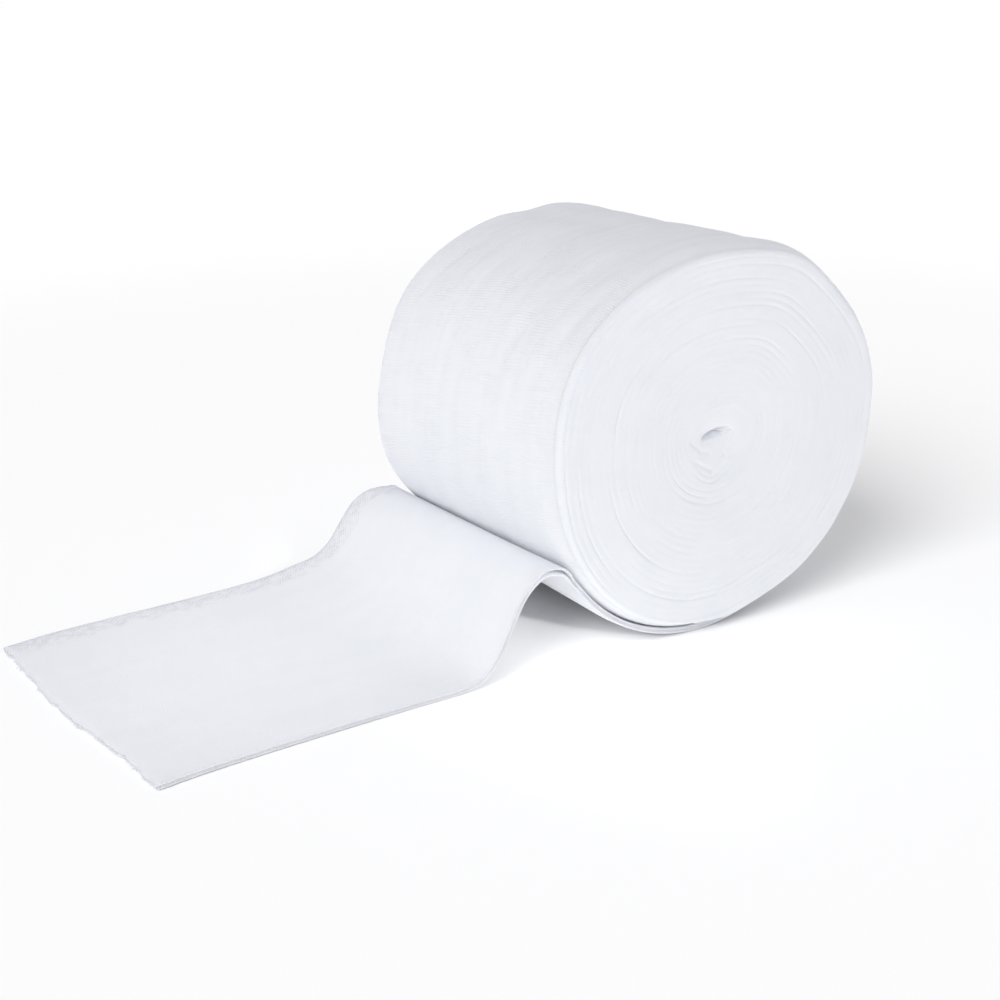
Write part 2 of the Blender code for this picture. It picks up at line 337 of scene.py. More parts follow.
def loose_controls(across):
    """Control points of the loose end's line at each place across: x, y, z and thickness."""
    share = across / CLOTH_WIDTH + 0.5
    inside = np.clip(share, 0, 1)
    first = wound_strip(np.full_like(across, -CLINGS_FOR), across)
    points = [np.concatenate([first, np.full((*share.shape, 1), SHEET_THICKNESS)], axis=-1)]
    for near_x, near_z, far_x, far_z, shift, lift, loft in LOOSE_END:
        x = between(near_x, far_x, share)
        z = between(near_z, far_z, inside**lift)
        thickness = SHEET_THICKNESS + loft * (1 - smooth(share / LOFT_FADES_OVER))
        points.append(np.stack([x, across + shift, z, thickness], axis=-1))
    for waves, depth, start in CUT_WAVES:
        points[-1][..., 0] += depth * np.sin(2 * np.pi * waves * share + start)
    return np.stack([2 * points[0] - points[1], *points, 2 * points[-1] - points[-2]])


def loose_strip(place, across):
    """The loose end's middle surface and thickness, as a Catmull-Rom spline.

    Place counts control points, one place to a row of the array across. With t from 0 to 1
    between two points s and e, b before and a after them, it is
    (2s + (e-b)t + (2b-5s+4e-a)t^2 + (3s-b-3e+a)t^3) / 2.
    """
    controls = loose_controls(across)
    span = np.clip(np.floor(place).astype(int), 0, len(LOOSE_END) - 1)
    t = (place - span)[:, None, None]
    row = np.arange(len(place))
    before, start, end, after = (controls[span + step, row] for step in range(4))
    slope = end - before
    bend = 2 * before - 5 * start + 4 * end - after
    twist = 3 * start - before - 3 * end + after
    point = start + (slope + (bend + twist * t) * t) * t / 2
    point[..., 2] = np.maximum(point[..., 2], point[..., 3] / 2)
    return point[..., :3], point[..., 3]


def strip_measure():
    """Lengths along the strip's middle, tucked end first, by turned degrees and by place."""
    turned = np.linspace(360 + TUCKED_FOR, -CLINGS_FOR, 2000)
    place = np.linspace(0, len(LOOSE_END), 1500)
    wound = wound_strip(turned, np.zeros_like(turned))
    loose = loose_strip(place, np.zeros((len(place), 1)))[0][:, 0]
    line = np.concatenate([wound, loose[1:]])
    steps = np.linalg.norm(np.diff(line, axis=0), axis=1)
    length = np.concatenate([[0], np.cumsum(steps)])
    return turned, length[: len(turned)], place, length[len(turned) - 1 :]


def stations_at(lengths):
    """Turned degrees, then loose-end places, of points at these lengths along the strip."""
    turned, wound_length, place, loose_length = strip_measure()
    wound = lengths <= wound_length[-1]
    on_roll = np.interp(lengths[wound], wound_length, turned)
    return on_roll, np.interp(lengths[~wound], loose_length, place)


def strip_length():
    return strip_measure()[3][-1]


def strip_surface(turned, place, across):
    """The whole middle surface at these places across, one row per station, and its thickness."""
    wound = wound_strip(turned[:, None], across[: len(turned)])
    loose, thickness = loose_strip(place, across[len(turned) :])
    plain = np.full(wound.shape[:2], SHEET_THICKNESS)
    return np.concatenate([wound, loose]), np.concatenate([plain, thickness])


def with_normals(turned, place, across):
    """The middle surface with its unit normals: the cross product of its two slopes."""
    points, thickness = strip_surface(turned, place, across)
    beyond, _ = strip_surface(turned, place, across + NORMAL_STEP)
    return points, unit(np.cross(np.gradient(points, axis=0), beyond - points)), thickness


def ply_opening(turned, place):
    """How wide the two plies part at the near edge, by station."""
    rows = range(1, len(LOOSE_END) + 1)
    loose = np.interp(place, rows, [row[6] for row in LOOSE_END])
    return np.concatenate([np.zeros(len(turned)), loose])


def strip_loops(lengths):
    """Closed loops of section points, one to a station, and each point's lengths for the UVs.

    point = middle + normal * height share * half thickness, with the middle's own normal. At the
    cut the section turns back inwards between the plies.
    """
    turned, place = stations_at(lengths)
    across, height, notch = half_section()
    stations = np.arange(len(lengths))
    hump = smooth(place / HUMP_RAMP) * smooth((HUMP_END - place) / HUMP_RAMP)
    hump = np.concatenate([np.zeros(len(turned)), hump])
    near_depth = between(NOTCH_DEPTH, NOTCH_DEPTH_AT_HUMP, hump)
    end_fade = smooth(np.minimum(stations, stations[::-1]) / NOTCH_FADES_IN)
    depth = np.where(across < 0, near_depth[:, None], NOTCH_DEPTH) * end_fade[:, None]
    placed = across + np.where(across < 0, 1, -1) * depth * notch

    points, normals, thickness = with_normals(turned, place, placed)
    open_share = np.where(notch > 0, 1 - notch, 1.0)
    loft = (thickness - SHEET_THICKNESS) / 2 * open_share
    lifted = height * SHEET_THICKNESS / 2 + loft
    back_in, shares = np.array(CUT_NOTCH).T
    rows = np.concatenate([stations, stations[-1] - back_in.astype(int)])
    shares = np.concatenate([np.ones(len(stations)), shares])
    reach = normals[rows] * (lifted[rows] * shares[:, None])[..., None]
    loops = np.concatenate([points[rows] + reach, (points[rows] - reach)[:, ::-1]], axis=1)
    placed_round = np.concatenate([placed, placed[:, ::-1]], axis=1)[rows]
    along = np.broadcast_to(lengths[rows, None], placed_round.shape)
    return loops, np.stack([along, placed_round], axis=-1)


def build_strip(sizes, material):
    """One closed sheet: the section's loops joined in turn, and a cap of quads at each end."""
    length = strip_length()
    loops, uv = strip_loops(np.linspace(0, length, int(length / sizes.strip_step)))
    rows, columns = loops.shape[:2]
    pairs = np.arange(columns // 2)
    cap = cells(np.stack([pairs, columns - 1 - pairs]))
    last_cap = cap + (rows - 1) * columns
    quads = np.concatenate([ring_cells(rows, columns)[:, ::-1], cap, last_cap[:, ::-1]])
    points, corner_uv = loops.reshape(-1, 3), uv.reshape(-1, 2)[quads.ravel()]
    nodes = ("loose_end", "wound_roll")
    return add_piece("gauze_strip", points, quads, material, corner_uv=corner_uv, nodes=nodes)


# -------- the threads

THREAD_SIDES = 5
LOOP_PITCH = 0.00094
LOOP_RADIUS = 0.00007
LOOP = (
    # out from the middle of the width, height from the middle surface
    (0.0491, 0.00086),
    (0.0496, 0.00090),
    (0.0500, 0.00066),
    (0.0502, 0.00034),
    (0.0502, 0.00000),
)
LOOP_SHIFT, LOOP_LEAN = 0.12, 0.25  # by chance, in shares of the pitch
LOOP_REACH = (-0.00010, 0.00014)
NEAR_LOOPS_TO = 100.0  # turned degrees up to which the near edge shows its loops
LOOPS_PARTED = 0.0003  # where the plies part by more than this, no loop joins them
CORDS = (
    # out from the middle of the width, height, radius
    (0.0499, 0.00062, 0.00016),
    (0.0491, 0.00094, 0.00013),
)
CORD_START, CORD_STOP, CORD_STEP = 0.0012, 0.0006, 0.0011
CORD_SWAY, CORD_SWAY_LENGTH, CORD_SEED = 0.00010, 0.007, 30
FRAY_COUNT, FRAY_POINTS, FRAY_SEED = 170, 6, 12
FRAY_ACROSS = 0.0495
FRAY_REACH, FRAY_REACH_SPREAD = 0.0002, 0.0007
FRAY_LEVEL = 0.7  # of the half thickness
FRAY_BEND, FRAY_DROOP = 0.8, 0.5  # of the reach
FRAY_ROOT = 0.0006  # how far back into the cloth each starts
FRAY_ROOT_STEP = 0.02  # places back from the cut to where its direction is taken
FRAY_FLOOR = 0.00015
FRAY_RADIUS, FRAY_TAPER = 0.00011, 0.55


def thread_piece(name, lines, sideways, radii, material):
    """One piece of closed round tubes, one to each line of points.

    ring point = line point + radius * (cos * sideways + sin * sideways x run of the line)
    """
    count, length = lines.shape[:2]
    run = unit(np.gradient(lines, axis=1))
    sideways = unit(sideways - run * (sideways * run).sum(axis=-1, keepdims=True))
    other = np.cross(run, sideways)
    turn = (2 * np.pi * np.arange(THREAD_SIDES) / THREAD_SIDES)[:, None]
    rings = sideways[:, :, None] * np.cos(turn) + other[:, :, None] * np.sin(turn)
    radii = np.broadcast_to(radii, (count, length))
    points = lines[:, :, None] + rings * radii[:, :, None, None]
    per_tube = length * THREAD_SIDES
    starts = (np.arange(count) * per_tube)[:, None, None]
    quads = starts + ring_cells(length, THREAD_SIDES)[:, ::-1]
    fan = np.array([(0, step + 1, step) for step in range(1, THREAD_SIDES - 1)])
    last_fan = fan[:, ::-1] + per_tube - THREAD_SIDES
    triangles = np.concatenate([(starts + fan).reshape(-1, 3), (starts + last_fan).reshape(-1, 3)])
    return add_piece(name, points.reshape(-1, 3), quads.reshape(-1, 4), material, triangles)


def edge_loops(name, side, material, seed):
    """Weft threads that turn back at an edge: out on the upper ply, round, back on the lower.

    Each loop reaches out a little more or less than the next, and leans along the edge.
    """
    lengths = np.arange(LOOP_PITCH, strip_length() - LOOP_PITCH, LOOP_PITCH)
    count = len(lengths)
    chance = np.random.default_rng(seed)
    lengths = lengths + chance.uniform(-LOOP_SHIFT, LOOP_SHIFT, count) * LOOP_PITCH
    turned, place = stations_at(lengths)
    shown = np.ones(count, bool)
    if side < 0:
        shown[: len(turned)] = turned < NEAR_LOOPS_TO
        shown &= ply_opening(turned, place) < LOOPS_PARTED
    out, height = np.array([*LOOP, *[(x, -z) for x, z in LOOP[-2::-1]]]).T
    steps = np.arange(len(out))
    outward = np.minimum(steps, steps[::-1]) / (len(LOOP) - 1)
    reach = chance.uniform(*LOOP_REACH, count)[:, None] * outward
    points, normals, _ = with_normals(turned, place, side * (out + reach))
    along = unit(np.gradient(points, axis=0))
    lean = chance.uniform(-LOOP_LEAN, LOOP_LEAN, count)[:, None] * LOOP_PITCH * outward
    lines = points + normals * height[:, None] + along * lean[..., None]
    return thread_piece(name, lines[shown], along[shown], LOOP_RADIUS, material)


def selvage_cords(material):
    """Warp threads that run along the far edge, on both plies, and sway a little."""
    lengths = np.arange(CORD_START, strip_length() - CORD_STOP, CORD_STEP)
    turned, place = stations_at(lengths)
    lines, sideways, radii = [], [], []
    for number, (out, height, radius) in enumerate(CORDS):
        for side in (1, -1):
            seed = CORD_SEED + 2 * number + side
            sway = CORD_SWAY * unevenness(lengths, 0 * lengths, CORD_SWAY_LENGTH, seed)
            points, normals, _ = with_normals(turned, place, (out + sway)[:, None])
            lines.append((points + side * height * normals)[:, 0])
            sideways.append(normals[:, 0])
            radii.append([radius])
    return thread_piece("selvage_cords", np.stack(lines), np.stack(sideways), radii, material)


def frayed_threads(material):
    """Short ends of warp thread along the cut.

    Each bends aside and droops to the floor with the square of the way along it.
    """
    chance = np.random.default_rng(FRAY_SEED)
    across = chance.uniform(-FRAY_ACROSS, FRAY_ACROSS, FRAY_COUNT)
    reach = FRAY_REACH + FRAY_REACH_SPREAD * chance.random(FRAY_COUNT) ** 3
    level = chance.uniform(-FRAY_LEVEL, FRAY_LEVEL, FRAY_COUNT) * SHEET_THICKNESS / 2
    bend = chance.uniform(-FRAY_BEND, FRAY_BEND, FRAY_COUNT)
    cut = float(len(LOOSE_END))
    places = np.array([cut - FRAY_ROOT_STEP, cut])
    here, normals, _ = with_normals(np.zeros(0), places, np.stack([across, across]))
    run = unit(here[1] - here[0])
    start = here[1] + normals[1] * level[:, None] - run * FRAY_ROOT
    t = np.linspace(0, 1, FRAY_POINTS)
    lines = start[:, None] + run[:, None] * t[:, None] * (reach + FRAY_ROOT)[:, None, None]
    lines[..., 1] += (bend * reach)[:, None] * t**2
    droop = FRAY_DROOP * reach[:, None] * t**2
    lines[..., 2] = np.maximum(lines[..., 2] - droop, FRAY_FLOOR)
    up = np.broadcast_to((0.0, 0.0, 1.0), lines.shape)
    return thread_piece("frayed_threads", lines, up, FRAY_RADIUS * (1 - FRAY_TAPER * t), material)


# -------- the turns

FIRST_TURN = 1.0  # turns from the leaving place at which these bodies begin
COLUMNS = 300  # points round each turn
ROWS = 8  # points across each turn's edge
SMALLEST = 0.00035  # radius at which the innermost turn stops
RIMS = {
    # end: width_merged, depth_merged, width_exposed, depth_exposed
    -1: (0.0018, 0.0014, 0.0024, 0.0026),
    1: (0.0018, 0.0014, 0.0030, 0.0016),
}
RIDGE_HEIGHT = 0.00022
RIDGE_POWER, RIDGE_LEVEL = 0.7, 0.6  # how square an edge is, and what share of it is level
RIDGE_PATCH_SIZE = 0.018
FACE_BUMPS, FACE_BUMP_SIZE = 0.00022, 0.022
LINE_WIDTH = 0.00030
LINES = (
    # Places where two turns part and show a line: turns, length in turns, depth
    (2.50, 0.07, 0.00020),
    (2.80, 0.09, 0.00026),
    (3.43, 0.11, 0.00024),
    (4.81, 0.07, 0.00024),
    (5.15, 0.06, 0.00020),
    (5.53, 0.07, 0.00020),
    (5.98, 0.12, 0.00020),
    (7.08, 0.10, 0.00018),
    (7.46, 0.05, 0.00022),
    (8.41, 0.05, 0.00022),
    (9.50, 0.09, 0.00024),
    (9.87, 0.07, 0.00034),
    (10.70, 0.06, 0.00024),
    (11.39, 0.05, 0.00022),
    (12.60, 0.08, 0.00020),
    (14.47, 0.07, 0.00022),
    (16.20, 0.08, 0.00018),
    (19.98, 0.09, 0.00030),
    (20.93, 0.07, 0.00030),
    (22.00, 0.08, 0.00022),
    (24.00, 0.09, 0.00024),
    (25.00, 0.10, 0.00022),
)
# Creases of the eye: the slit, and the two pleats under it that meet in a point each
EYE_CREASES = (
    # x, z, to_x, to_z, width, depth
    (-0.0016, 0.0627, 0.0016, 0.0631, 0.00036, 0.0020),
    (0.0016, 0.0631, 0.0044, 0.0638, 0.00035, 0.0005),
    (0.0047, 0.0577, 0.0021, 0.0562, 0.00065, 0.0003),
    (0.0021, 0.0562, -0.0029, 0.0522, 0.00070, 0.0004),
    (-0.0029, 0.0522, -0.0096, 0.0561, 0.00070, 0.0003),
    (-0.0114, 0.0623, -0.0075, 0.0590, 0.00065, 0.0003),
    (-0.0075, 0.0590, -0.0036, 0.0577, 0.00065, 0.0003),
)
POINT_ANGLE, POINT_SPREAD = -94.0, 24.0  # under the eye the small turns come to a point
POINT_RADIUS, POINT_REACH, POINT_SHARE = 0.0085, 0.0050, 0.32
EYE_DEPTH = 0.0075
EYE_PULLS_TO = 0.0541  # radius from which a turn is no longer drawn towards the eye
SHAPED_AT = 0.060  # radius at which a turn has the whole of the outline's shape
PRESSED_LIFT, PRESSED_FROM, PRESSED_OVER = 0.00095, 0.035, 0.020
WALL_INSETS = (0.006, 0.009, 0.013, 0.018, 0.024, 0.030, 0.036, 0.042, 0.0495)  # from the face
WALL_RADIUS = 0.0599  # radius for which the wall is pressed flat
BODIES_APART = 0.0005  # from mid width to the inner end of each body
PROUD = (
    # radius, proud of the face plane
    (0.0000, -0.0026),
    (0.0012, -0.0021),
    (0.0030, -0.0014),
    (0.0056, -0.0009),
    (0.0100, -0.0004),
    (0.0160, 0.0000),
    (0.0240, 0.0005),
    (0.0330, 0.0008),
    (0.0430, 0.0007),
    (0.0510, 0.0003),
    (0.0600, 0.0000),
)


def from_segment(x, z, start_x, start_z, end_x, end_z):
    """Distance of points from a segment: from its nearest point, with the share along clipped."""
    run_x, run_z = end_x - start_x, end_z - start_z
    off_x, off_z = x - start_x, z - start_z
    share = np.clip((off_x * run_x + off_z * run_z) / (run_x**2 + run_z**2), 0, 1)
    return np.hypot(off_x - run_x * share, off_z - run_z * share)


def pressed_height(height, radius):
    """A turn's height, pressed flat at the bottom by the turns under it, less so further in."""
    bottom = ROLL_CENTRE_Z - radius + SAG * radius / SHAPED_AT
    lift = PRESSED_LIFT * smooth((radius - PRESSED_FROM) / PRESSED_OVER)
    return np.maximum(height, bottom + lift)


def turn_place(turns, radius, end):
    """A point of a wound face: the outline's shape, shrunk with the radius, about the eye.

    x, z = (radius + out of round * radius / 60 mm) * (cos, sin), plus what pulls the small turns
    out along the eye, its half length * (1 - share)^3 * cos(angle - eye angle), plus
    (1 - share) * the eye's place.
    """
    angle = LEAVING_ANGLE + 360 * (turns % 1.0)
    share = np.clip(radius / EYE_PULLS_TO, 0, 1)
    near_point = bell(angle_between(angle, POINT_ANGLE), POINT_SPREAD)
    pointed = POINT_SHARE * near_point * bell(radius - POINT_RADIUS, POINT_REACH)
    radius = radius * (1 + pointed)
    reach = radius + out_of_round(angle, end * CLOTH_WIDTH / 2) * radius / SHAPED_AT
    run = EYE_HALF_LENGTH * (1 - share) ** 3 * np.cos(np.radians(angle - EYE_ANGLE))
    (x, z), (pull_x, pull_z) = polar(reach, angle), polar(run, EYE_ANGLE)
    height = pressed_height(ROLL_CENTRE_Z + (z + pull_z), radius)
    return x + pull_x + EYE_X * (1 - share), height + EYE_Z * (1 - share)


def ribbon_radii():
    """The face's spiral ribbon, column by column: turns, outer radius and inner radius.

    Radius = roll radius - pitch * turns. The ribbon starts with no width, where the last lap's
    tucked end fills its place.
    """
    turn_count = (ROLL_RADIUS - SMALLEST) / TURN_PITCH - 1
    last = int((turn_count - FIRST_TURN) * COLUMNS)
    turns = FIRST_TURN + np.arange(last + COLUMNS + 1) / COLUMNS
    emerging = 1 - smooth((turns - FIRST_TURN) * 360 / TUCKED_FOR)
    outer = np.maximum(ROLL_RADIUS - TURN_PITCH * turns - TURN_PITCH * emerging, SMALLEST)
    inner = np.maximum(ROLL_RADIUS - TURN_PITCH * (turns + 1), SMALLEST)
    return turns, outer, inner


def dish(turns, share, radius, flat, place):
    """How far the face stands out: its profile and soft bumps, less the lines and creases."""
    bumps = unevenness(*flat, FACE_BUMP_SIZE, seed=5)
    proud = np.interp(radius, *zip(*PROUD)) + FACE_BUMPS * bumps
    from_edge = share * TURN_PITCH
    for at, spread, depth in LINES:
        proud = proud - depth * bell(turns - at, spread) * bell(from_edge, LINE_WIDTH)
        next_line = bell(turns + 1 - at, spread) * bell(TURN_PITCH - from_edge, LINE_WIDTH)
        proud = proud - depth * next_line
    for *segment, width, depth in EYE_CREASES:
        proud = proud - depth * bell(from_segment(*place, *segment), width)
    return proud


def ridges(turns, share, flat):
    """How far each turn's edge stands out: sin(pi * share)^power, less what is level.

    Some turns and some places show it more than others.
    """
    by_turn = 0.5 + 0.5 * unevenness(3 * (turns + share), 0 * turns, 1.0, seed=8)
    by_place = smooth(0.45 + 0.9 * unevenness(*flat, RIDGE_PATCH_SIZE, seed=6))
    height = RIDGE_HEIGHT * by_turn * by_place
    return (np.sin(np.pi * share) ** RIDGE_POWER - RIDGE_LEVEL) * height


def rim(turned, radius, end):
    """How far the rim is drawn back, and how deep in it a point lies, from 0 to 1.

    back = depth * (1 - sqrt(1 - in_rim^2)), a quarter of an ellipse.
    """
    width_merged, depth_merged, width_exposed, depth_exposed = RIMS[end]
    apart = exposed(turned)
    width = between(width_merged, width_exposed, apart)
    depth = between(depth_merged, depth_exposed, apart)
    edge_radius = ROLL_RADIUS - TURN_PITCH * (1 + turned / 360)
    in_rim = np.clip(1 - (edge_radius - radius) / width, 0, 1)
    return depth * (1 - np.sqrt(np.clip(1 - in_rim**2, 0, 1))), in_rim


def face_surface(turns, outer, inner, end):
    """The ribbon's points, row by row from its outer side almost to its inner side."""
    share = (np.arange(ROWS) / ROWS)[:, None]
    radius = between(outer, inner, share)
    turns = np.broadcast_to(turns, radius.shape)
    flat = polar(radius, LEAVING_ANGLE + 360 * turns)
    x, z = turn_place(turns, radius, end)
    back, in_rim = rim(360 * ((turns - FIRST_TURN) % 1.0), radius, end)
    ridge = ridges(turns, share, flat) * (1 - in_rim)
    out = dish(turns, share, radius, flat, (x, z)) - back + ridge
    return np.stack([x, end * (CLOTH_WIDTH / 2 + out), z], axis=-1)


def wall_surface(outer, end):
    """The side wall, ring by ring from the rim to mid width, one turn inside the outline."""
    turned = 360 * np.arange(COLUMNS) / COLUMNS
    step = outer[:COLUMNS] - (ROLL_RADIUS - TURN_PITCH * (1 + turned / 360))
    y = end * (CLOTH_WIDTH / 2 - np.array(WALL_INSETS))[:, None]
    radius = outline(turned, y) - TURN_PITCH + step
    x, z = polar(radius, LEAVING_ANGLE + turned)
    z = pressed_height(ROLL_CENTRE_Z + z, WALL_RADIUS)
    return np.stack([x, y + 0 * x, z], axis=-1)


def ribbon_number(row, column):
    """A ribbon point's number, counted column by column.

    The row past the last is the next turn's first row. The first column, where the ribbon has no
    width yet, is one point.
    """
    column = np.where(row == ROWS, column + COLUMNS, column)
    return np.where(column == 0, COLUMNS * ROWS, column * ROWS + row % ROWS)


def build_turns(name, end, material):
    """The wound turns under the last lap, from one end of the roll to its middle.

    The ribbon's hole is closed by a fan to a point deep in the eye, and the wall by one at mid
    width.
    """
    turns, outer, inner = ribbon_radii()
    last = len(turns) - COLUMNS - 1
    face = face_surface(turns, outer, inner, end).transpose(1, 0, 2).reshape(-1, 3)
    wall = wall_surface(outer, end).reshape(-1, 3)
    pole = (EYE_X, end * (CLOTH_WIDTH / 2 - EYE_DEPTH), ROLL_CENTRE_Z + EYE_Z)
    middle = (0.0, end * BODIES_APART, ROLL_CENTRE_Z)
    points = np.concatenate([face, [pole], wall, [middle]])

    row, column = np.mgrid[: ROWS + 1, : last + 1]
    ribbon = cells(ribbon_number(row, column))
    lengths = np.concatenate([[0], np.cumsum(2 * np.pi * outer[:-1] / COLUMNS)])
    ribbon_uv = cells(np.stack([lengths[column], row / ROWS * SHEET_THICKNESS], axis=-1))
    whole = column[:-1, :-1].ravel() > 0
    hole_round = ribbon_number(0, np.arange(last, last + COLUMNS + 1))
    hole = np.concatenate([hole_round, ribbon_number(np.arange(ROWS - 1, 0, -1), last)])
    hole_fan = np.stack([hole, np.roll(hole, -1), np.full(len(hole), len(face))], axis=-1)

    rings = len(face) + 1 + np.arange(len(wall)).reshape(-1, COLUMNS)
    rings = np.concatenate([ribbon_number(0, np.arange(COLUMNS))[None], rings])
    rings = np.hstack([rings, rings[:, :1]])
    wall_quads = cells(rings)[:, [0, 3, 2, 1]]
    hub = np.full(COLUMNS, len(points) - 1)
    fans = np.concatenate([hole_fan, np.stack([rings[-1, :-1], hub, rings[-1, 1:]], axis=-1)])

    quads = np.concatenate([ribbon[whole], wall_quads])
    quad_uv = np.concatenate([ribbon_uv[whole], points[wall_quads][..., :2]])
    triangles = np.concatenate([ribbon[~whole][:, :3], fans])
    triangle_uv = np.concatenate([ribbon_uv[~whole][:, :3], np.zeros((len(fans), 3, 2))])
    if end > 0:
        quads, quad_uv = quads[:, ::-1], quad_uv[:, ::-1]
        triangles, triangle_uv = triangles[:, ::-1], triangle_uv[:, ::-1]
    corner_uv = np.concatenate([quad_uv.reshape(-1, 2), triangle_uv.reshape(-1, 2)])
    corners = np.concatenate([quads.ravel(), triangles.ravel()])
    used, numbers = np.unique(corners, return_inverse=True)
    quads, triangles = numbers[: quads.size].reshape(-1, 4), numbers[quads.size :].reshape(-1, 3)
    return add_piece(name, points[used], quads, material, triangles, corner_uv, ("wound_roll",))


# -------- materials

# Ramps over lengths along the strip, in metres: start, end, value before, value after
RIBS_ALONG = (0.40, 0.45, 1.0, 0.15)
STITCHES_ALONG = (0.40, 0.44, 0.2, 1.0)
STREAKS_START = (0.09, 0.17, 0.35, 1.0)
STREAKS_END = (0.36, 0.43, 1.0, 0.25)
# The same from where the near edge's painted shadow starts to show, from the cut for its painted
# shadow, and over places across
NEAR_SHADOW_ALONG = (-0.04, 0.02)
# Painted contact shadow at the cut end, darkening the colour there
CUT_SHADOW = (-0.0016, -0.0003, 0.0, 0.12)
FAR_HEM = (0.0470, 0.0490, 0.0, 0.16)
# Painted contact shadow along the near edge
NEAR_EDGE_SHADOW = (-0.0488, -0.0495, 0.0, 0.05)
BAND = (-0.0012, 0.0022)  # from where the selvage starts
BAND_TINT, BAND_RAGGED = 0.05, 0.010
STITCH_ALONG, STITCH_ACROSS = 0.00115, 0.00150
# How far the stitch dots darken the colour, painted shade in the net's holes, and how deep they
# sink
STITCH_HOLE_SHADE, STITCH_DEPTH = 0.85, 0.00012
ZIGZAG_LENGTH, ZIGZAG_RISE = 0.0026, 250.0
RIB_WANDER = 1.8
STREAKS_PER_METRE = (14.0, 190.0, 1.0)


def set_inputs(tree, node, inputs):
    """Gives a node's inputs, by name or number, their numbers, colours, or sockets to link."""
    for name, value in dict(inputs).items():
        value = getattr(value, "socket", value)
        if isinstance(value, bpy.types.NodeSocket):
            tree.links.new(value, node.inputs[name])
        else:
            node.inputs[name].default_value = value


def add_node(tree, kind, inputs=(), **settings):
    """A shader node with these settings and inputs."""
    node = tree.nodes.new("ShaderNode" + kind)
    for name, value in settings.items():
        setattr(node, name, value)
    set_inputs(tree, node, inputs)
    return node


class Value:
    """A number in a node tree, which adds and multiplies as plain numbers do."""

    def __init__(self, tree, socket):
        self.tree = tree
        self.socket = socket

    def made(self, kind, inputs, **settings):
        """The first output of a new node."""
        return Value(self.tree, add_node(self.tree, kind, inputs, **settings).outputs[0])

    def math(self, operation, *others):
        return self.made("Math", enumerate((self, *others)), operation=operation)

    __add__ = partialmethod(math, "ADD")
    __sub__ = partialmethod(math, "SUBTRACT")
    __mul__ = partialmethod(math, "MULTIPLY")
    __truediv__ = partialmethod(math, "DIVIDE")

    def ramp(self, start, end, low=0.0, high=1.0):
        """A straight ramp, clamped: low before start, high past end."""
        return self.made("MapRange", enumerate((self, start, end, low, high)))

    def wave(self, pitch, shift=0.0):
        """sin(2 pi (value / pitch + shift))"""
        return ((self / pitch + shift) * (2 * np.pi)).math("SINE")


def noise(tree, place, scale, detail=2.0):
    """A noise about this place, from 0 to 1, with as many patches to a metre as its scale."""
    inputs = {"Vector": place, "Scale": scale, "Detail": detail}
    return Value(tree, add_node(tree, "TexNoise", inputs).outputs[0])


def weft_ribs(tree, place, along, across, given):
    """Ribs of heavier weft: their phase wanders, and their depth comes and goes."""
    wander = noise(tree, place, 90.0, 1.0) * RIB_WANDER
    rib = (along + across * given["Skew"]).wave(given["Rib Pitch"], wander)
    patchy = noise(tree, place, 110.0).ramp(0.38, 0.60, 0.15)
    broken = noise(tree, place, 420.0).ramp(0.35, 0.60, 0.3)
    return rib * patchy * broken * along.ramp(*RIBS_ALONG)


def selvage_stitches(tree, place, along, across, given):
    """The selvage's ragged band, and in it dots where two crossing waves have one sign, which sink
    as a bump and darken the colour as painted shade in the net's holes.
    """
    ragged = (noise(tree, place, 200.0) - 0.5) * BAND_RAGGED
    band = (across + ragged - given["Selvage From"]).ramp(*BAND)
    zigzag = along.math("PINGPONG", ZIGZAG_LENGTH) * ZIGZAG_RISE
    stitch = along.wave(STITCH_ALONG) * across.wave(STITCH_ACROSS, zigzag)
    chance = noise(tree, place, 400.0).ramp(0.35, 0.60, 0.1)
    return band, stitch * (band * along.ramp(*STITCHES_ALONG)) * chance


def edge_tint_and_shadow(band, along, across, given):
    """The most of what the band and the far hem tint the cloth, and of the painted shadow along the
    near edge and at the cut.
    """
    near_shadow_shows = (along - given["Near Shadow From"]).ramp(*NEAR_SHADOW_ALONG)
    tint = (band * BAND_TINT).math("MAXIMUM", across.ramp(*FAR_HEM))
    tint = tint.math("MAXIMUM", across.ramp(*NEAR_EDGE_SHADOW) * near_shadow_shows)
    return tint.math("MAXIMUM", (along - given["Cut At"]).ramp(*CUT_SHADOW))


def thin_places_and_groove_shade(tree, place, along, rib):
    """Where the cotton lies thinner: clouds, streaks along the strip and specks; between ribs
    partly thinner cotton and partly painted shade in the grooves.
    """
    drawn_out = add_node(tree, "VectorMath", {0: place, 1: STREAKS_PER_METRE}, operation="MULTIPLY")
    streak = noise(tree, drawn_out.outputs[0], 1.0).ramp(0.35, 0.75, 0.0, 0.8)
    streak = streak * along.ramp(*STREAKS_START) * along.ramp(*STREAKS_END)
    cloud = noise(tree, place, 60.0, 4.0).ramp(0.3, 0.7, 0.0, 0.4)
    specks = noise(tree, place, 1500.0).ramp(0.3, 0.7, -0.12, 0.12)
    # rib * 0.3 darkens the grooves between ribs: painted shade
    return cloud + streak - rib * 0.3 + specks


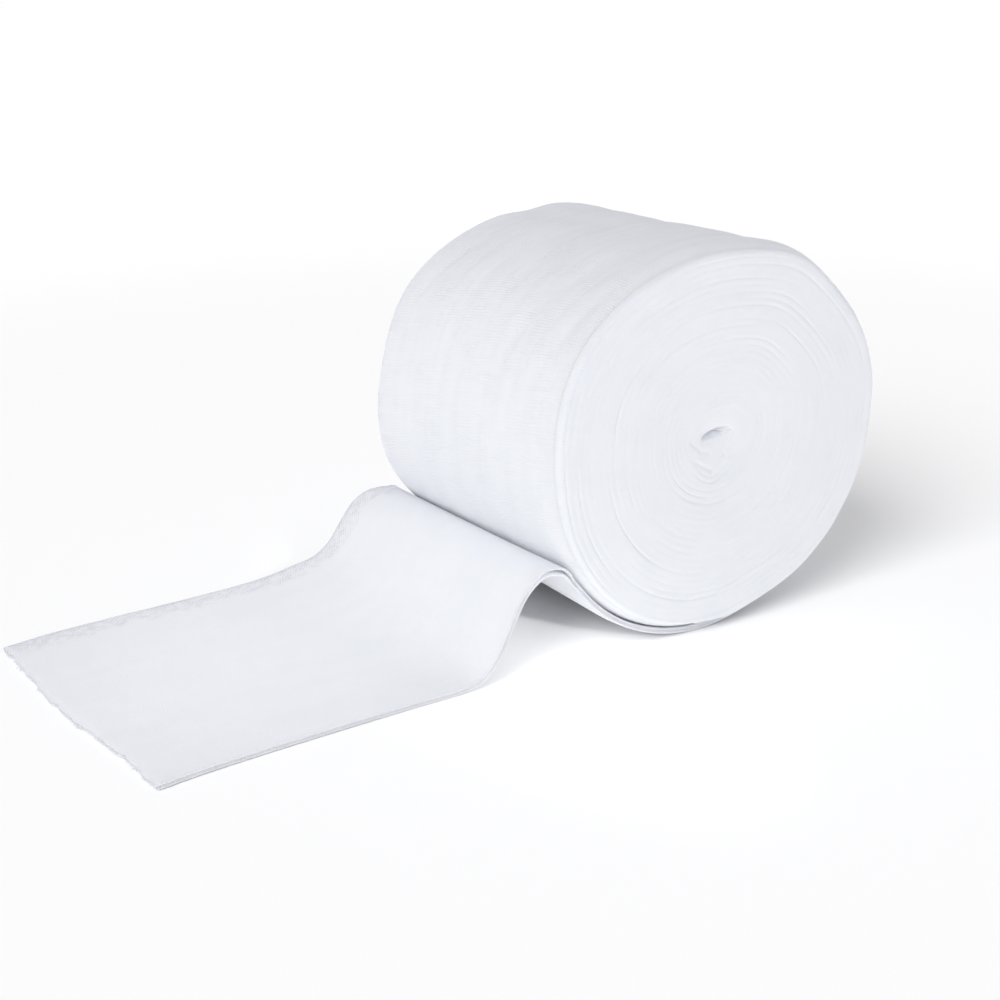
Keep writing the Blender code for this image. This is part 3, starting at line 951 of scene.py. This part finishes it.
def weave_group(inputs):
    """Weft ribs, a little askew, warp, fluff, streaks, tinted edges and the selvage's stitches.

    The ribs fade, and the stitches show, where the strip leaves the roll. The Shade and Selvage
    masks also paint shade: in the grooves between ribs, in the stitches' holes, and as a shadow
    along the near edge and at the cut.
    """
    group = bpy.data.node_groups.new("gauze_weave", "ShaderNodeTree")
    for socket in inputs:
        kind = "Vector" if socket == "Cloth" else "Float"
        group.interface.new_socket(socket, in_out="INPUT", socket_type="NodeSocket" + kind)
    for socket in ("Height", "Shade", "Selvage"):
        group.interface.new_socket(socket, in_out="OUTPUT", socket_type="NodeSocketFloat")
    given = group.nodes.new("NodeGroupInput").outputs

    metres = add_node(group, "VectorMath", {0: given["Cloth"], "Scale": UV_UNIT}, operation="SCALE")
    place = metres.outputs[0]
    parts = add_node(group, "SeparateXYZ", {0: place}).outputs
    along, across = Value(group, parts[0]), Value(group, parts[1])
    rib = weft_ribs(group, place, along, across, given)
    warp = across.wave(given["Warp Pitch"]) * given["Warp Depth"]
    fluff = (noise(group, place, 2200.0, 3.0) - 0.5) * given["Fluff Depth"]
    band, stitch = selvage_stitches(group, place, along, across, given)
    # The selvage mask also carries painted shade: the stitch dots in the net's holes, and the
    # shadows along the near edge and at the cut
    selvage = edge_tint_and_shadow(band, along, across, given) + stitch * STITCH_HOLE_SHADE
    results = {
        "Height": rib * given["Rib Depth"] + warp + fluff + stitch * -STITCH_DEPTH,
        "Shade": thin_places_and_groove_shade(group, place, along, rib).ramp(0.0, 1.0),
        "Selvage": selvage.ramp(0.0, 1.0),
    }
    set_inputs(group, group.nodes.new("NodeGroupOutput"), results)
    return group


def opaque(colour):
    return (*colour, 1.0)


def new_material(name, inputs):
    """A material whose shader has these inputs, with its tree and its shader."""
    material = bpy.data.materials.new(name)
    material.use_nodes = True
    tree = material.node_tree
    shader = tree.nodes["Principled BSDF"]
    set_inputs(tree, shader, inputs)
    return material, tree, shader


def new_cotton(name, look):
    """Rough white cotton that light sinks into."""
    inputs = {
        "Roughness": 0.95,
        "Specular IOR Level": 0.2,
        "Sheen Weight": look.sheen,
        "Sheen Roughness": 0.6,
        "Subsurface Weight": look.glow_through,
        "Subsurface Radius": (1.0, 1.0, 1.1),
        "Subsurface Scale": look.glow_depth,
    }
    return new_material(name, inputs)


def mixed_colour(tree, share, first, second):
    """A colour between two, each an opaque colour or a socket."""
    return add_node(tree, "Mix", {0: share, 6: first, 7: second}, data_type="RGBA").outputs[2]


def woven_material(name, look, cut_at, rib_depth, warp_depth):
    """White cotton gauze, its colour darkened with painted shade in the rib grooves and the net's
    holes, and with painted shadow along the near edge and at the cut; lengths in metres.
    """
    material, tree, shader = new_cotton(name, look)
    inputs = {
        "Cloth": add_node(tree, "UVMap", uv_map="cloth").outputs[0],
        "Rib Pitch": look.rib_pitch,
        "Rib Depth": rib_depth,
        "Warp Pitch": look.warp_pitch,
        "Warp Depth": warp_depth,
        "Fluff Depth": look.fluff_depth,
        "Selvage From": look.selvage_from,
        "Near Shadow From": look.near_shadow_from,
        "Cut At": cut_at,
        "Skew": look.skew,
    }
    weave = bpy.data.node_groups.get("gauze_weave") or weave_group(inputs)
    woven = add_node(tree, "Group", inputs, node_tree=weave).outputs
    plain = mixed_colour(tree, woven["Shade"], opaque(look.colour), opaque(look.thin_and_groove_shade_colour))
    edged_and_shaded = mixed_colour(tree, woven["Selvage"], plain, opaque(look.selvage_and_shade_colour))
    bump = add_node(tree, "Bump", {"Strength": 1.0, "Distance": 1.0, "Height": woven["Height"]})
    set_inputs(tree, shader, {"Base Color": edged_and_shaded, "Normal": bump.outputs[0]})
    return material


def thread_material(name, look):
    """Twisted cotton thread, a little more lavender than the cloth."""
    material, tree, shader = new_cotton(name, look)
    share = noise(tree, add_node(tree, "TexCoord").outputs["Object"], 900.0).ramp(0.35, 0.65)
    colour = mixed_colour(tree, share, opaque(look.colour), opaque(look.thread_colour))
    set_inputs(tree, shader, {"Base Color": colour})
    return material


# -------- the stage

CAMERA_PLACE = (-0.2703, -0.3610, 0.1876)
CAMERA_AIM = (0.4974, 0.8001, -0.3353)
CAMERA_LENS, CAMERA_SENSOR = 52.2, 36.0
ROLL_AIM = (0.0, 0.0, 0.05)
STRIP_AIM = (-0.125, 0.0, 0.0)
MOUTH_AIM = (-0.060, -0.025, 0.0)
FLOOR_SUN_FROM = (-1.0, -0.45, 0.80)
FLOOR_SUN_SPREAD = 35.0  # degrees
GLOW_FROM, GLOW_FULL = 0.35, 1.1  # distances over which the floor's glow rises
WHITE = (1.0, 1.0, 1.0)
LAVENDER = (0.76, 0.78, 1.0)


def new_looker(name, data, place, direction):
    """A lamp or a camera that looks this way from its place."""
    made = new_object(name, data)
    made.location = place
    made.rotation_euler = Vector(direction).to_track_quat("-Z", "Y").to_euler()
    return made


def add_light(name, kind, place, aim, power, **settings):
    """A light that shines from its place towards its aim."""
    light = bpy.data.lights.new(name, kind)
    light.energy = power
    for setting, value in settings.items():
        setattr(light, setting, value)
    return new_looker(name, light, place, Vector(aim) - Vector(place))


def area_light(name, place, size, power, colour=WHITE):
    return add_light(name, "AREA", place, ROLL_AIM, power, shape="SQUARE", size=size, color=colour)


def spot_light(name, place, aim, degrees, softness, power):
    cone = {"spot_size": np.radians(degrees), "spot_blend": 1.0, "shadow_soft_size": softness}
    return add_light(name, "SPOT", place, aim, power, **cone)


def tie_lights(role, name, things, lamps):
    """Keeps these lights to some things: those they light, or those that shade them."""
    collection = bpy.data.collections.new(name)
    for thing in things:
        collection.objects.link(thing)
    for lamp in lamps:
        setattr(lamp.light_linking, role, collection)


def build_lights(look, floor, pieces):
    """Four lights for the pieces alone, and a sun and a spot for the floor alone.

    The strip throws no shadow in the two on the left, so the crease at its fold stays light.
    """
    front = area_light("front_light", (-0.70, -0.70, 0.40), 0.50, look.front_power)
    back = area_light("back_light", (-0.50, 0.50, 0.45), 0.30, look.back_power)
    right = area_light("right_light", (0.60, 0.00, 0.90), 0.40, look.right_power, LAVENDER)
    over = spot_light("strip_light", (-0.35, 0.00, 0.90), STRIP_AIM, 14, 0.05, look.strip_power)
    spread = np.radians(FLOOR_SUN_SPREAD)
    sun = add_light("floor_sun", "SUN", FLOOR_SUN_FROM, (0, 0, 0), look.floor_sun, angle=spread)
    mouth = spot_light("mouth_light", (-0.05, -0.50, 0.22), MOUTH_AIM, 8, 0.03, look.mouth_power)
    turns = [piece for piece in pieces if piece.name.endswith("_turns")]
    tie_lights("receiver_collection", "lit_by_piece_lights", pieces, (front, back, right, over))
    tie_lights("receiver_collection", "lit_by_floor_lights", [floor], (sun, mouth))
    tie_lights("blocker_collection", "shading_left_lights", turns, (front, back))


def floor_material(look):
    """White, and glowing away from the object, as a sweep with its own lights does."""
    white = {"Base Color": opaque(look.floor_colour), "Roughness": 0.8}
    material, tree, shader = new_material("floor_white", white)
    place = add_node(tree, "TexCoord").outputs["Object"]
    away = add_node(tree, "VectorMath", {0: place}, operation="LENGTH").outputs["Value"]
    rise = {0: away, 1: GLOW_FROM, 2: GLOW_FULL, 3: 0.0, 4: look.floor_glow}
    glow = add_node(tree, "MapRange", rise, interpolation_type="SMOOTHSTEP").outputs[0]
    set_inputs(tree, shader, {"Emission Color": opaque(WHITE), "Emission Strength": glow})
    return material


def build_floor(look):
    half = look.floor_size / 2
    corners = [(-half, -half, 0), (half, -half, 0), (half, half, 0), (-half, half, 0)]
    mesh = bpy.data.meshes.new("floor")
    mesh.from_pydata(corners, [], [(0, 1, 2, 3)])
    mesh.materials.append(floor_material(look))
    floor = new_object("floor", mesh)
    return floor


def build_sky(look):
    """A soft sky, nearly white, that is quite white where the camera sees it."""
    world = bpy.data.worlds.new("soft_sky")
    world.use_nodes = True
    tree = world.node_tree
    sky = tree.nodes["Background"]
    set_inputs(tree, sky, {"Color": opaque(look.sky_colour), "Strength": look.sky_strength})
    seen = add_node(tree, "Background", {"Color": opaque(WHITE), "Strength": 1.0})
    by_camera = add_node(tree, "LightPath").outputs["Is Camera Ray"]
    mixed = add_node(tree, "MixShader", {0: by_camera, 1: sky.outputs[0], 2: seen.outputs[0]})
    set_inputs(tree, tree.nodes["World Output"], {"Surface": mixed.outputs[0]})
    bpy.context.scene.world = world


def build_camera():
    """A camera where the photo's stood."""
    camera = bpy.data.cameras.new("camera")
    camera.lens = CAMERA_LENS
    camera.sensor_width = CAMERA_SENSOR
    camera.clip_start = 0.01
    bpy.context.scene.camera = new_looker("camera", camera, CAMERA_PLACE, CAMERA_AIM)


def build_stage(look):
    scene = bpy.context.scene
    pieces = [thing for thing in scene.objects if thing.type == "MESH"]
    build_lights(look, build_floor(look), pieces)
    build_sky(look)
    scene.view_settings.view_transform = "Standard"
    build_camera()


# -------- add-on


def maker(kind, **fixed):
    """Makes properties of one kind from a name, a description and a default."""
    return lambda name, description, default, **limits: kind(
        name=name, description=description, default=default, **fixed, **limits
    )


as_number = maker(FloatProperty)
as_power = maker(FloatProperty, min=0.0)
as_share = maker(FloatProperty, min=0.0, max=1.0, subtype="FACTOR")
as_length = maker(FloatProperty, precision=5, unit="LENGTH")
as_colour = maker(FloatVectorProperty, min=0.0, max=1.0, subtype="COLOR")


class GauzeSizes(PropertyGroup):
    strip_step: as_length("Strip step", "From one row of points to the next", 0.0013, min=0.0013)


class GauzeLook(PropertyGroup):
    colour: as_colour("Cotton", "Colour of the cotton", (0.880, 0.897, 0.935))
    # Colour for thinner cotton, and for painted shade in the grooves between ribs
    thin_and_groove_shade_colour: as_colour("Thin cotton", "Colour where it lies thinner", (0.825, 0.845, 0.895))
    # Lavender grey for the selvage band's tint, and for painted shade at the near edge, the cut and
    # the net's holes
    selvage_and_shade_colour: as_colour("Selvage", "Colour of the selvage threads", (0.62, 0.58, 0.69))
    thread_colour: as_colour("Thread", "Colour of the looped threads", (0.84, 0.83, 0.89))
    selvage_from: as_length("Selvage from", "Where the selvage starts across the strip", 0.0425)
    # Where the painted shadow along the near edge starts to show along the strip
    near_shadow_from: as_length("Hem from", "Where the near hem starts to show along the strip", 0.30)
    glow_through: as_share("Glow through", "Share of the light that sinks into the cotton", 0.35)
    glow_depth: as_length("Glow depth", "How far light spreads in the cotton", 0.003)
    rib_pitch: as_length("Rib pitch", "Distance between ribs across the strip", 0.00094)
    skew: as_number("Skew", "How far ribs run along for each metre across", 0.19, min=-0.5, max=0.5)
    rib_depth: as_length("Rib depth", "Height of the ribs", 0.00005)
    warp_pitch: as_length("Warp pitch", "Distance between threads along the strip", 0.00047)
    warp_depth: as_length("Warp depth", "Height of the threads along the strip", 0.000008)
    fluff_depth: as_length("Fluff", "Height of the cotton's fluff", 0.00006)
    sheen: as_share("Sheen", "Soft shine of the fluff", 0.1)


class StageLook(PropertyGroup):
    floor_size: as_length("Floor size", "Side of the floor", 24.0)
    floor_colour: as_colour("Floor", "Colour of the floor", (0.9, 0.9, 0.9))
    floor_glow: as_power("Floor glow", "Glow of the floor away from the object", 0.12)
    floor_sun: as_power("Floor sun", "Strength of the slanting light on the floor", 2.57)
    mouth_power: as_power("Mouth light", "Power of the spot on the floor inside the hump", 15.0)
    front_power: as_power("Front light", "Power of the light in front, on the left", 2.38)
    back_power: as_power("Back light", "Power of the light behind, on the left", 0.55)
    right_power: as_power("Right light", "Power of the light above, on the right", 0.75)
    strip_power: as_power("Strip light", "Power of the spot over the loose end", 6.7)
    sky_strength: as_power("Sky", "Strength of the sky", 0.61)
    sky_colour: as_colour("Sky colour", "Colour of the sky", (0.985, 0.985, 1.0))


NO_CUT = 100.0  # metres along the strip, past any cloth, so no painted cut shadow falls on the turns
TURN_RIBS = 0.4  # share of the ribs' height that the turns' edges have


class OBJECT_OT_gauze_strip(Operator):
    """Build the last lap and the loose end as one folded sheet"""

    bl_idname = "object.gauze_strip"
    bl_label = "Gauze strip"

    def execute(self, context):
        look = context.scene.gauze_look
        depths = look.rib_depth, look.warp_depth
        material = woven_material("gauze_cloth", look, strip_length(), *depths)
        build_strip(context.scene.gauze_sizes, material)
        return {"FINISHED"}


class OBJECT_OT_gauze_turns(Operator):
    """Build the wound turns under the last lap, with their two faces"""

    bl_idname = "object.gauze_turns"
    bl_label = "Wound turns"

    def execute(self, context):
        look = context.scene.gauze_look
        rib_depth = look.rib_depth * TURN_RIBS
        material = woven_material("gauze_turn_edges", look, NO_CUT, rib_depth, 0.0)
        build_turns("near_turns", -1, material)
        build_turns("far_turns", 1, material)
        return {"FINISHED"}


class OBJECT_OT_gauze_threads(Operator):
    """Build the selvage threads at both edges and the frayed ones at the cut"""

    bl_idname = "object.gauze_threads"
    bl_label = "Selvage and frayed threads"

    def execute(self, context):
        material = thread_material("cotton_thread", context.scene.gauze_look)
        threads = [
            edge_loops("far_loops", 1, material, seed=3),
            edge_loops("near_loops", -1, material, seed=4),
            selvage_cords(material),
            frayed_threads(material),
        ]
        strip_length()
        return {"FINISHED"}


class OBJECT_OT_gauze_stage(Operator):
    """Build the floor, the lights, the sky and the camera"""

    bl_idname = "object.gauze_stage"
    bl_label = "Stage"

    def execute(self, context):
        build_stage(context.scene.stage_look)
        return {"FINISHED"}


class VIEW3D_PT_gauze_roll(Panel):
    bl_label = "Gauze roll"
    bl_space_type = "VIEW_3D"
    bl_region_type = "UI"
    bl_category = "Gauze roll"

    def draw(self, context):
        for group_name, group in GROUPS:
            for name in group.__annotations__:
                self.layout.prop(getattr(context.scene, group_name), name)
        for operator in OPERATORS:
            self.layout.operator(operator.bl_idname)


GROUPS = (("gauze_sizes", GauzeSizes), ("gauze_look", GauzeLook), ("stage_look", StageLook))
OPERATORS = (
    OBJECT_OT_gauze_turns,
    OBJECT_OT_gauze_strip,
    OBJECT_OT_gauze_threads,
    OBJECT_OT_gauze_stage,
)


def register():
    for name, group in GROUPS:
        bpy.utils.register_class(group)
        setattr(bpy.types.Scene, name, PointerProperty(type=group))
    for made in (*OPERATORS, VIEW3D_PT_gauze_roll):
        bpy.utils.register_class(made)


def unregister():
    for made in (VIEW3D_PT_gauze_roll, *reversed(OPERATORS)):
        bpy.utils.unregister_class(made)
    for name, group in reversed(GROUPS):
        delattr(bpy.types.Scene, name)
        bpy.utils.unregister_class(group)


def main():
    register()
    bpy.ops.object.gauze_turns()
    bpy.ops.object.gauze_strip()
    bpy.ops.object.gauze_threads()
    bpy.ops.object.gauze_stage()


if __name__ == "__main__":
    main()
